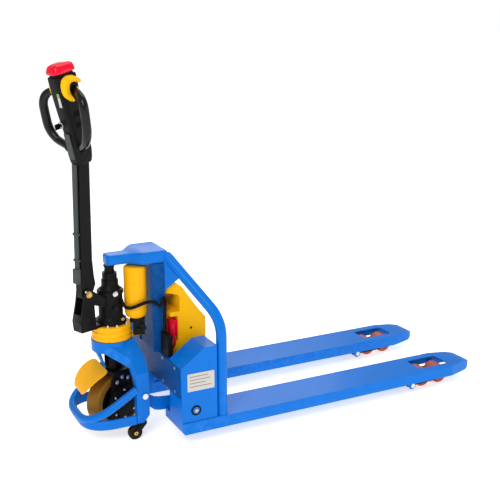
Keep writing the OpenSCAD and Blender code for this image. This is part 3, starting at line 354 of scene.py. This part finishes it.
def facing(at, direction):
    """4x4 matrix whose Z axis points along direction, with its origin at at."""
    z = np.asarray(direction, float) / np.linalg.norm(direction)
    x = np.cross((0, 1, 0) if abs(z[1]) < 0.8 else (1, 0, 0), z)
    x /= np.linalg.norm(x)
    m = np.eye(4)
    m[:3, 0], m[:3, 1], m[:3, 2], m[:3, 3] = x, np.cross(z, x), z, at
    return m


def hex_bolt(name, at, direction, across, height, mat, body, m=HERE, washer=True):
    """A hexagon head: its corner circle shrinks to 0.88 over the top 18% of its height."""
    r = across / math.sqrt(3)
    t = np.linspace(0, 2 * math.pi, 6, endpoint=False)
    ring_list = [np.stack([k * r * np.cos(t), k * r * np.sin(t), np.full(6, z)], 1)
                 for k, z in ((1.0, 0.0), (1.0, 0.82 * height), (0.88, height))]
    v, f = rings(ring_list)
    place = m @ facing(at, direction)
    rounded(piece(name, placed(v, place), f, mat, body), 0.0004, 1)
    if washer:
        turned(name + "_washer", [(r * 1.3, -0.0004), (r * 1.3, height * 0.16), (r * 1.22, height * 0.22)],
               mat, body, place, 32)


def dome_bolt(name, at, direction, radius, height, mat, body, m=HERE):
    """A round head: r = radius * sqrt(1 - 0.82 (z / height)^2), with a socket in its middle."""
    u = np.linspace(0, 1, 7)
    profile = [(radius, -0.0005)] + [(radius * math.sqrt(1 - 0.82 * k * k), height * k) for k in u]
    profile += [(radius * 0.40, height), (radius * 0.36, height * 0.55)]
    turned(name, profile, mat, body, m @ facing(at, direction), 28)


# ---- painted steel: base, arch, chassis ----

skin("base_arch", BLUE, 0.0055, 3)
for side, _ in SIDES:
    skin("side_box_" + side, BLUE, 0.0055, 3)
    skin("fork_" + side, BLUE, 0.0040, 3)
# Column, cross member and front cover take the painted-shade copy of the blue paint.
skin("column", SHADED_BLUE, 0.0016)
skin("cross_member", SHADED_BLUE, 0.0018)
skin("front_cover", SHADED_BLUE, 0.0010)
skin("rocker", BLUE, 0.0022)
skin("wheel_guard", YELLOW, 0.0012)
skin("turntable_ring", YELLOW, 0.0014)
skin("power_pack", YELLOW, 0.0030, 3)
skin("battery_case", CASE, 0.0085, 4)
skin("battery_plug", RED, 0.0018)
skin("controller", SHELL, 0.0030, 3)
for node in ("leg_pins", "steer_bearing", "drive_axle", "ring_bolts", "cover_screws", "fork_pins"):
    skin(node, STEEL, 0.0008)
for node in ("push_rod_left", "push_rod_right"):
    skin(node, ROD, 0.0012)
for node in ("yoke_left", "yoke_right", "bogie_left", "bogie_right", "caster_left", "caster_right"):
    skin(node, BLACK, 0.0012)
for end in ("front", "rear"):
    for side, _ in SIDES:
        skin(f"roller_{end}_{side}", ROLLER, 0.0020)
skin("drive_fork", BLACK, 0.0020)
skin("drive_rim", BLACK, 0.0015)
skin("drive_tyre", TYRE, 0.0022, 3)
skin("pump_body", CAST, 0.0016)
skin("valve_block", CAST, 0.0022)
skin("lifting_ram", CHROME, 0.0008)
skin("tiller_bracket", BLACK, 0.0022)
skin("tiller_pin", BRASS, 0.0010)
skin("tiller_tube", BLACK, 0.0036, 3)
skin("cable_cover", GREY, 0.0016)
skin("lift_button", KEYS, 0.0010)
skin("lower_button", KEYS, 0.0010)
skin("key_switch", STEEL, 0.0008)
skin("key", KEYS, 0.0012)
for side, _ in SIDES:
    skin("caster_wheel_" + side, NYLON, 0.0020, 3)

# ---- cast head of the chassis ----


def edge_loss(d, r):
    """Inset of a rounded edge of radius r at distance d from the end."""
    d = np.clip(d, 0, r)
    return r - np.sqrt(np.maximum(r * r - (r - d) ** 2, 0))


def cast_head():
    """Rounded rectangles along x: half width 33 mm at the nose eases to 76 mm over the column."""
    x0, x1, low = -0.6485, -0.4375, 0.6140
    long = x1 - x0
    nose = 0.00005 + 0.020 * (1 - np.cos(np.linspace(0, math.pi / 2, 9)))
    heel = long - 0.00005 - 0.016 * (1 - np.cos(np.linspace(0, math.pi / 2, 8)))
    ring_list = []
    for d in np.unique(np.concatenate([nose, np.linspace(0, 1, 45)[1:-1] * long, heel])):
        x, back = x0 + d, long - d
        ease = np.clip((x + 0.582) / 0.060, 0, 1)
        ease = ease * ease * (3 - 2 * ease)
        w = 0.033 + 0.043 * ease - edge_loss(d, 0.018) - edge_loss(back, 0.014)
        loss = edge_loss(d, 0.008) + edge_loss(back, 0.010)
        top, bottom = 0.6500 + 0.0080 * ease - loss, low + 0.6 * loss
        r = min(0.009, 0.45 * (top - bottom), 0.45 * w)
        ring = []
        for cy, cz, start in ((w - r, top - r, 0), (r - w, top - r, 90), (r - w, bottom + r, 180),
                              (w - r, bottom + r, 270)):
            for a in np.radians(start + np.linspace(0, 90, 7)):
                ring.append((x, cy + r * math.cos(a), cz + r * math.sin(a)))
        ring_list.append(ring)
    v, f = rings(ring_list)
    piece("cast_head", v, f, BLUE, "chassis", sharp=60.0, stands_for=("head_casting",))


cast_head()

# ---- bent tubes ----

HOOP_X, HOOP_Y, LEG_X = STEER_X - 0.143, 0.138, -0.598
HOOP_R, HOOP_BEND = 0.014, 0.120
HOOP_LOW, HOOP_RISE = 0.080, 0.106
BAND_LOW, BAND_HIGH, BAND_HALF, BAND_BEND = 0.054, 0.090, 0.004, 0.110
BEND_STEPS = 30


def hoop_at(x, y):
    """Point of the bumper hoop: its height rises evenly from its front to the legs."""
    return (x, y, HOOP_LOW + HOOP_RISE * (x - HOOP_X) / (LEG_X + 0.004 - HOOP_X))


half = np.vstack([[hoop_at(LEG_X + 0.003, -HOOP_Y)],
                  bend(hoop_at(LEG_X, -HOOP_Y), hoop_at(HOOP_X, -HOOP_Y), hoop_at(HOOP_X, 0), HOOP_BEND,
                       BEND_STEPS)])
hoop = np.vstack([half, half[::-1] * (1, -1, 1)])
tube("bumper_tube", hoop, HOOP_R, BLUE, "base", sides=32, stands_for=("bumper_hoop",))


def band_line(e):
    """Plan outline of the lower band, moved out by e."""
    h = np.vstack([[(LEG_X + 0.001, -HOOP_Y - e, 0)],
                   bend((LEG_X, -HOOP_Y - e, 0), (HOOP_X - e, -HOOP_Y - e, 0), (HOOP_X - e, 0, 0),
                        BAND_BEND, BEND_STEPS)])
    return np.vstack([h, h[::-1] * (1, -1, 1)])


band = [np.array([(p[0], p[1], BAND_LOW), (p[0], p[1], BAND_HIGH), (q[0], q[1], BAND_HIGH),
                  (q[0], q[1], BAND_LOW)]) for p, q in zip(band_line(BAND_HALF), band_line(-BAND_HALF))]
v, f = rings(band)
rounded(piece("bumper_band", v, f, BLUE, "base"), 0.0030, 3)

TUBE_X, TUBE_Y, TUBE_R = -0.321, 0.256, 0.019
TUBE_FOOT_Z, TUBE_CORNER_Z, TUBE_BEND = 0.083, 0.437, 0.062
TUBE_TOP = (-0.432, 0.080, 0.620)
GUSSET_X, GUSSET_Y, GUSSET_HALF = -0.457, 0.067, 0.003
WELD_R, WELD_Z, WELD_STEPS = TUBE_R + 0.0005, 0.0862, 49
for side, s in SIDES:
    foot = np.array([TUBE_X, TUBE_Y, TUBE_FOOT_Z])
    corner = np.array([TUBE_X, TUBE_Y, TUBE_CORNER_Z])
    top = np.array(TUBE_TOP)
    along = (top - corner) / np.linalg.norm(top - corner)
    on = [top + d * along for d in (0.016, 0.024, 0.030, 0.034, 0.036)]
    path = np.vstack([[foot], [foot + (0, 0, 0.15)], bend(foot, corner, top, TUBE_BEND, 22), on])
    thick = np.full(len(path), TUBE_R)
    thick[-4:] = (0.0180, 0.0155, 0.0110, 0.0050)
    tube("bent_tube_" + side, path * (1, s, 1), thick, BLUE, "chassis", sides=36, up=(0, 1, 0.2),
         stands_for=("frame_tube_" + side,))
    reach = (top - corner) / (top - corner)[2]
    low, high = corner + reach * 0.138, corner + reach * 0.163
    outline = [(GUSSET_X, GUSSET_Y, 0.506), (low[0], low[1], 0.575), (high[0], high[1], 0.600),
               (GUSSET_X, GUSSET_Y, 0.616)]
    n = np.cross((0, 0, 1), [low[0] - GUSSET_X, low[1] - GUSSET_Y, 0])
    n = GUSSET_HALF * n / np.linalg.norm(n)
    v = [np.array(p) + n for p in outline] + [np.array(p) - n for p in outline]
    f = [(0, 1, 2, 3), (7, 6, 5, 4)] + [(k, (k + 1) % 4, 4 + (k + 1) % 4, 4 + k) for k in range(4)]
    rounded(piece("gusset_" + side, np.array(v) * (1, s, 1), f, BLUE, "chassis"), 0.0012)
    # weld bead round the tube's foot, with a ripple in its thickness
    t = np.linspace(0, 2 * math.pi, WELD_STEPS)
    ring = np.stack([TUBE_X + WELD_R * np.cos(t), s * TUBE_Y + WELD_R * np.sin(t),
                     np.full(WELD_STEPS, WELD_Z)], 1)
    tube("tube_weld_" + side, ring, 0.0021 + 0.0004 * np.sin(26 * t), BLUE, "chassis", sides=8)

# ---- control head ----

lofted("head_skin", [
    (-0.012, 0.001, 0.0275, 0.0225), (-0.008, 0.001, 0.0300, 0.0250), (0.006, 0.002, 0.0330, 0.0280),
    (0.034, 0.004, 0.0350, 0.0310), (0.055, 0.004, 0.0335, 0.0305), (0.092, 0.004, 0.0310, 0.0292),
    (0.150, 0.004, 0.0350, 0.0302), (0.210, 0.005, 0.0395, 0.0312), (0.262, 0.006, 0.0420, 0.0314),
    (0.282, 0.006, 0.0420, 0.0312), (0.2855, 0.006, 0.0405, 0.0300), (0.2865, 0.006, 0.0358, 0.0262),
    (0.2885, 0.006, 0.0350, 0.0255), (0.2942, 0.006, 0.0350, 0.0255), (0.2950, 0.006, 0.0335, 0.0240),
], 4.4, SHELL, "tiller", HEAD, stands_for=("head_shell",))
cap_outside = spline([
    (0.2960, 0.006, 0.0405, 0.0306), (0.2958, 0.006, 0.0425, 0.0326), (0.2975, 0.006, 0.0438, 0.0336),
    (0.3020, 0.006, 0.0440, 0.0338), (0.3095, 0.007, 0.0425, 0.0320), (0.3170, 0.008, 0.0395, 0.0290),
    (0.3215, 0.008, 0.0340, 0.0245), (0.3240, 0.008, 0.0240, 0.0170), (0.3249, 0.008, 0.0040, 0.0030)], 5)
cap_inside = np.array([(0.3042, 0.006, 0.0380, 0.0280), (0.2975, 0.006, 0.0392, 0.0292)])
lofted("cap_skin", np.vstack([cap_inside, cap_outside]), 3.4, RED, "reverse_cap", HEAD, steps=1,
       stands_for=("belly_button",))

# Edges of a throttle wing in the head's x, z plane; the inner one runs round the loop's root.
WING_OUTER = [(0.0500, 0.2560), (0.0465, 0.2660), (0.0380, 0.2735), (0.0266, 0.2807), (0.0144, 0.2852),
              (-0.0033, 0.2858), (-0.0190, 0.2790), (-0.0265, 0.2620), (-0.0280, 0.2415), (-0.0225, 0.2210),
              (-0.0070, 0.2050), (0.0075, 0.1985)]
WING_INNER = [(0.0480, 0.2515), (0.0430, 0.2520), (0.0370, 0.2535), (0.0300, 0.2560), (0.0230, 0.2590),
              (0.0140, 0.2600), (0.0060, 0.2560), (0.0015, 0.2500), (-0.0005, 0.2410), (0.0010, 0.2290),
              (0.0050, 0.2170), (0.0110, 0.2050)]


def throttle_wing(side, s):
    """A crescent, u = -1..1 across it: height over the head = (4 to 17 mm) * (1 - u^4)."""
    outer, inner = spline(WING_OUTER, 5), spline(WING_INNER, 5)
    u = np.linspace(-1, 1, 15)
    share = np.sin(np.linspace(0, math.pi, len(outer))) ** 0.35
    ring_list = []
    for o, q, k in zip(outer, inner, share):
        mid, arm = (o + q) / 2, (q - o) / 2
        rise = 0.0290 + (0.004 + 0.013 * k) * (1 - u**4)
        top = np.column_stack([mid[0] + arm[0] * u, s * rise, mid[1] + arm[1] * u])
        ring_list.append(np.vstack([top, [(q[0], s * 0.0285, q[1]), (o[0], s * 0.0285, o[1])]]))
    v, f = rings(ring_list)
    piece("throttle_wing_" + side, placed(v, HEAD), f, CASE, "throttle_wings", sharp=70.0,
          stands_for=("throttle",) if s < 0 else ())


for side, s in SIDES:
    throttle_wing(side, s)
for side, s in SIDES:
    root = np.array([0.024, 0.026, 0.236])
    knee = np.array([-0.014, 0.112, 0.224])
    low = np.array([-0.026, 0.103, 0.084])
    foot = np.array([-0.008, 0.015, 0.036])
    path = np.vstack([[root], bend(root, knee, low, 0.052, 16), bend(knee, low, foot, 0.052, 16), [foot]])
    path = spline(path[::3].tolist() + [path[-1]], 4)
    u = np.linspace(0, 1, len(path))
    wide = 0.0118 + 0.0030 * np.sin(math.pi * np.clip((u - 0.12) / 0.76, 0, 1)) ** 0.6
    tube("grip_" + side, path * (1, s, 1), wide, GRIP, "tiller", HEAD, 32, 1.12, (1, 0, 0.001),
         stands_for=("hand_loop_" + side,))
    turned("grip_collar_" + side, [(0.0135, -0.005), (0.0160, -0.002), (0.0168, 0.002), (0.0150, 0.008)],
           SHELL, "tiller", HEAD @ facing((-0.0105, s * 0.0310, 0.0440), (-0.18, s * 0.86, 0.47)))
    slab("button_bezel_" + side, (-0.008, s * 0.0302 - 0.0012, 0.108), (0.020, s * 0.0302 + 0.0012, 0.176),
         SHELL, "tiller", HEAD, 0.0011, 3)
slab("face_panel", (-0.0340, -0.014, 0.012), (-0.0280, 0.014, 0.100), GREY, "tiller", HEAD, 0.003, 3)
slab("face_label_white", (-0.0352, -0.019, 0.190), (-0.0330, -0.007, 0.222), PLATE, "tiller", HEAD, 0.0006)
slab("face_label_green", (-0.0358, -0.019, 0.2225), (-0.0335, -0.007, 0.236), GREEN, "tiller", HEAD, 0.0006)
KEY_Y, KEY_Z, BEZEL_X, BEZEL_R = 0.016, 0.128, -0.0338, 0.0108
t = np.linspace(0, 2 * math.pi, 41)
bezel = np.stack([np.full(41, BEZEL_X), KEY_Y + BEZEL_R * np.cos(t), KEY_Z + BEZEL_R * np.sin(t)], 1)
tube("key_bezel", bezel, 0.0016, STEEL, "tiller", HEAD, 10, up=(1, 0, 0))

# ---- cables ----

pump_route = np.array([
    [-604, -38, 492], [-600, -46, 470], [-586, -64, 462], [-566, -78, 470],
    [-544, -81, 478], [-520, -77, 480], [-500, -84, 478], [-490, -92, 470]]) / 1000
frame_route = np.array([
    [-489.6, -92.4, 469.6], [-485, -96, 466.5], [-479, -97, 468], [-475, -95, 476], [-471, -92, 488],
    [-465, -90, 492], [-461, -92, 482], [-464, -96, 460], [-466, -98, 430], [-467, -98, 400],
    [-468, -100, 368.7]]) / 1000


EASE_ROUNDS = 26


def lead(name, route, radius, mat, body, steps, stands_for=()):
    """A flexible lead along route, eased by repeated averaging."""
    path = spline(route, steps)
    for _ in range(EASE_ROUNDS):
        path[1:-1] = (path[:-2] + 2 * path[1:-1] + path[2:]) / 4
    o = tube(name, path, radius, mat, body, sides=20, up=(0.3, 0.1, 1), stands_for=stands_for)


lead("pump_lead", pump_route, 0.0060, CABLE, "steering", 10, ("pump_cable",))
lead("frame_lead", frame_route, 0.0058, CABLE, "chassis", 10, ("frame_cable",))

# ---- fasteners and small parts ----

COVER_BOLTS = ((0.040, 0.137), (0.052, 0.105), (0.040, 0.073), (-0.040, 0.137), (-0.052, 0.105),
               (-0.040, 0.073), (0.0, 0.157), (0.0, 0.053))
for k, (x, z) in enumerate(COVER_BOLTS):
    for side, s in SIDES:
        dome_bolt(f"cover_bolt_{side}_{k}", (x, s * 0.0585, z), (0, s, 0), 0.0048, 0.0035, STEEL, "steering",
                  STEERED)
for k, (x, y, z) in enumerate(((0.025, -0.050, 0.196), (-0.024, -0.050, 0.190), (0.0, -0.050, 0.205))):
    hex_bolt(f"cheek_bolt_{k}", (x, y, z), (0, -1, 0), 0.010, 0.004, STEEL, "steering", STEERED)
for side, s in SIDES:
    turned("caster_hub_" + side, [(0.0075, -0.0145), (0.0075, 0.0145), (0.0045, 0.0158)], BRASS,
           "caster_wheel_" + side, facing((-0.605, s * 0.134, 0.025), (0, s, 0)), 24)
# Painted shade: a black sleeve on the chrome ram stands in for the shade under the head's nose.
turned("ram_painted_shade", [(0.0165, 0.5945), (0.0172, 0.5960), (0.0172, 0.6050), (0.0200, 0.6062), (0.0200, 0.6130)],
       CAST, "ram", shift(STEER_X, 0, 0), 40)
dome_bolt("pack_screw", (-0.5668, -0.0642, 0.545), (-0.458, -0.889, 0), 0.0045, 0.0022, YELLOW, "steering")
hex_bolt("pump_plug", (-0.6280, -0.0468, 0.516), (0.085, -0.996, 0), 0.013, 0.006, STEEL, "steering")
hex_bolt("flange_fitting", (-0.6050, -0.0380, 0.416), (0, 0, 1), 0.013, 0.008, BRASS, "steering")
dome_bolt("bracket_bolt", (-0.1215, -0.0242, 0.5440), (0, -1, 0), 0.0042, 0.0030, STEEL, "steering",
          STEERED)
lead("red_lead", np.array([
    (-0.4350, -0.1010, 0.3980), (-0.4400, -0.1140, 0.4090), (-0.4440, -0.1190, 0.3900),
    (-0.4420, -0.1170, 0.3600), (-0.4360, -0.1160, 0.3320), (-0.4420, -0.1120, 0.3080),
    (-0.4560, -0.1080, 0.3000)]), 0.0042, RED, "chassis", 8)
BOX_Y = 0.2712
PIVOT_X, PIVOT_Z = -0.427, 0.127
for side, s in SIDES:
    turned("pivot_recess_" + side,
           [(0.0185, -0.0012), (0.0185, 0.0006), (0.0150, 0.0008), (0.0140, -0.0006)], KEYS, "chassis",
           facing((PIVOT_X, s * (BOX_Y + 0.0010), PIVOT_Z), (0, s, 0)))
    hex_bolt("rocker_nut_" + side, (PIVOT_X, s * (BOX_Y + 0.0016), PIVOT_Z), (0, s, 0), 0.013, 0.0036,
             BRASS, "rocker", washer=False)
    slab("rating_plate_" + side, (-0.458, s * BOX_Y - 0.0006, 0.200), (-0.356, s * BOX_Y + 0.0006, 0.265),
         PLATE, "chassis", HERE, 0.0004, 1)
    for k, (z, x1) in enumerate(((0.252, -0.380), (0.240, -0.372), (0.228, -0.390), (0.215, -0.368))):
        slab(f"plate_line_{side}_{k}", (-0.450, s * (BOX_Y + 0.0007) - 0.0003, z),
             (x1, s * (BOX_Y + 0.0007) + 0.0003, z + 0.0028), PRINT, "chassis", HERE, 0.0001, 1)
    for k, (x, z) in enumerate(((-0.453, 0.260), (-0.361, 0.260), (-0.453, 0.205), (-0.361, 0.205))):
        dome_bolt(f"plate_rivet_{side}_{k}", (x, s * (BOX_Y + 0.0006), z), (0, s, 0), 0.0020, 0.0012,
                  STEEL, "chassis")
    dome_bolt("battery_screw_" + side, (-0.372, s * 0.112, 0.372), (0, s, 0), 0.0045, 0.0022, KEYS,
              "chassis")

# ---- floor, light, camera ----

floor_mat = bpy.data.materials.new("floor")
floor_mat.use_nodes = True
shade = floor_mat.node_tree.nodes["Principled BSDF"]
shade.inputs["Base Color"].default_value = (0.93, 0.93, 0.93, 1)
shade.inputs["Roughness"].default_value = 0.85
shade.inputs["Emission Color"].default_value = (1, 1, 1, 1)
shade.inputs["Emission Strength"].default_value = 0.60
floor_mesh = bpy.data.meshes.new("floor")
FLOOR = 40.0
floor_mesh.from_pydata([(-FLOOR, -FLOOR, 0), (FLOOR, -FLOOR, 0), (FLOOR, FLOOR, 0), (-FLOOR, FLOOR, 0)],
                       [], [(0, 1, 2, 3)])
floor_mesh.materials.append(floor_mat)
floor = bpy.data.objects.new("floor", floor_mesh)
bpy.context.scene.collection.objects.link(floor)


def area_light(name, at, target, size, power):
    """A soft rectangular light at at, turned to target."""
    data = bpy.data.lights.new(name, "AREA")
    data.shape = "RECTANGLE"
    data.size, data.size_y = size
    data.energy = power
    o = bpy.data.objects.new(name, data)
    o.location = at
    o.rotation_euler = (Vector(target) - Vector(at)).to_track_quat("-Z", "Y").to_euler()
    bpy.context.scene.collection.objects.link(o)


area_light("key", (-2.6, -2.6, 3.2), (-0.3, 0, 0.4), (1.8, 1.8), 62)
area_light("fill", (2.8, -2.8, 1.8), (0.0, 0, 0.3), (2.4, 1.6), 26)
area_light("top", (0.2, 0.4, 3.6), (0.1, 0, 0.2), (2.6, 1.6), 34)
area_light("back", (1.2, 3.4, 2.2), (-0.2, 0, 0.4), (2.4, 1.4), 26)

world = bpy.data.worlds.new("studio")
bpy.context.scene.world = world
world.use_nodes = True
wn, wl = world.node_tree.nodes, world.node_tree.links.new
sky = wn["Background"]
sky.inputs["Color"].default_value = (1, 1, 1, 1)
sky.inputs["Strength"].default_value = 0.50
seen = wn.new("ShaderNodeBackground")
seen.inputs["Color"].default_value = (1, 1, 1, 1)
seen.inputs["Strength"].default_value = 1.0
path_info = wn.new("ShaderNodeLightPath")
pick = wn.new("ShaderNodeMixShader")
wl(path_info.outputs["Is Camera Ray"], pick.inputs["Fac"])
wl(sky.outputs["Background"], pick.inputs[1])
wl(seen.outputs["Background"], pick.inputs[2])
wl(pick.outputs["Shader"], wn["World Output"].inputs["Surface"])

CAM_AT, CAM_TURN, CAM_DOWN = (-1.600, -2.956, 1.480), 27.26, 14.87
CAM_LENS, CAM_SENSOR = 65.7, 36.0
scene = bpy.context.scene
scene.view_settings.view_transform = "Standard"
cam_data = bpy.data.cameras.new("camera")
cam_data.lens = CAM_LENS
cam_data.sensor_width = CAM_SENSOR
cam = bpy.data.objects.new("camera", cam_data)
cam.location = CAM_AT
az, el = math.radians(CAM_TURN), math.radians(CAM_DOWN)
look = Vector((math.sin(az) * math.cos(el), math.cos(az) * math.cos(el), -math.sin(el)))
cam.rotation_euler = look.to_track_quat("-Z", "Y").to_euler()
scene.collection.objects.link(cam)
scene.camera = cam
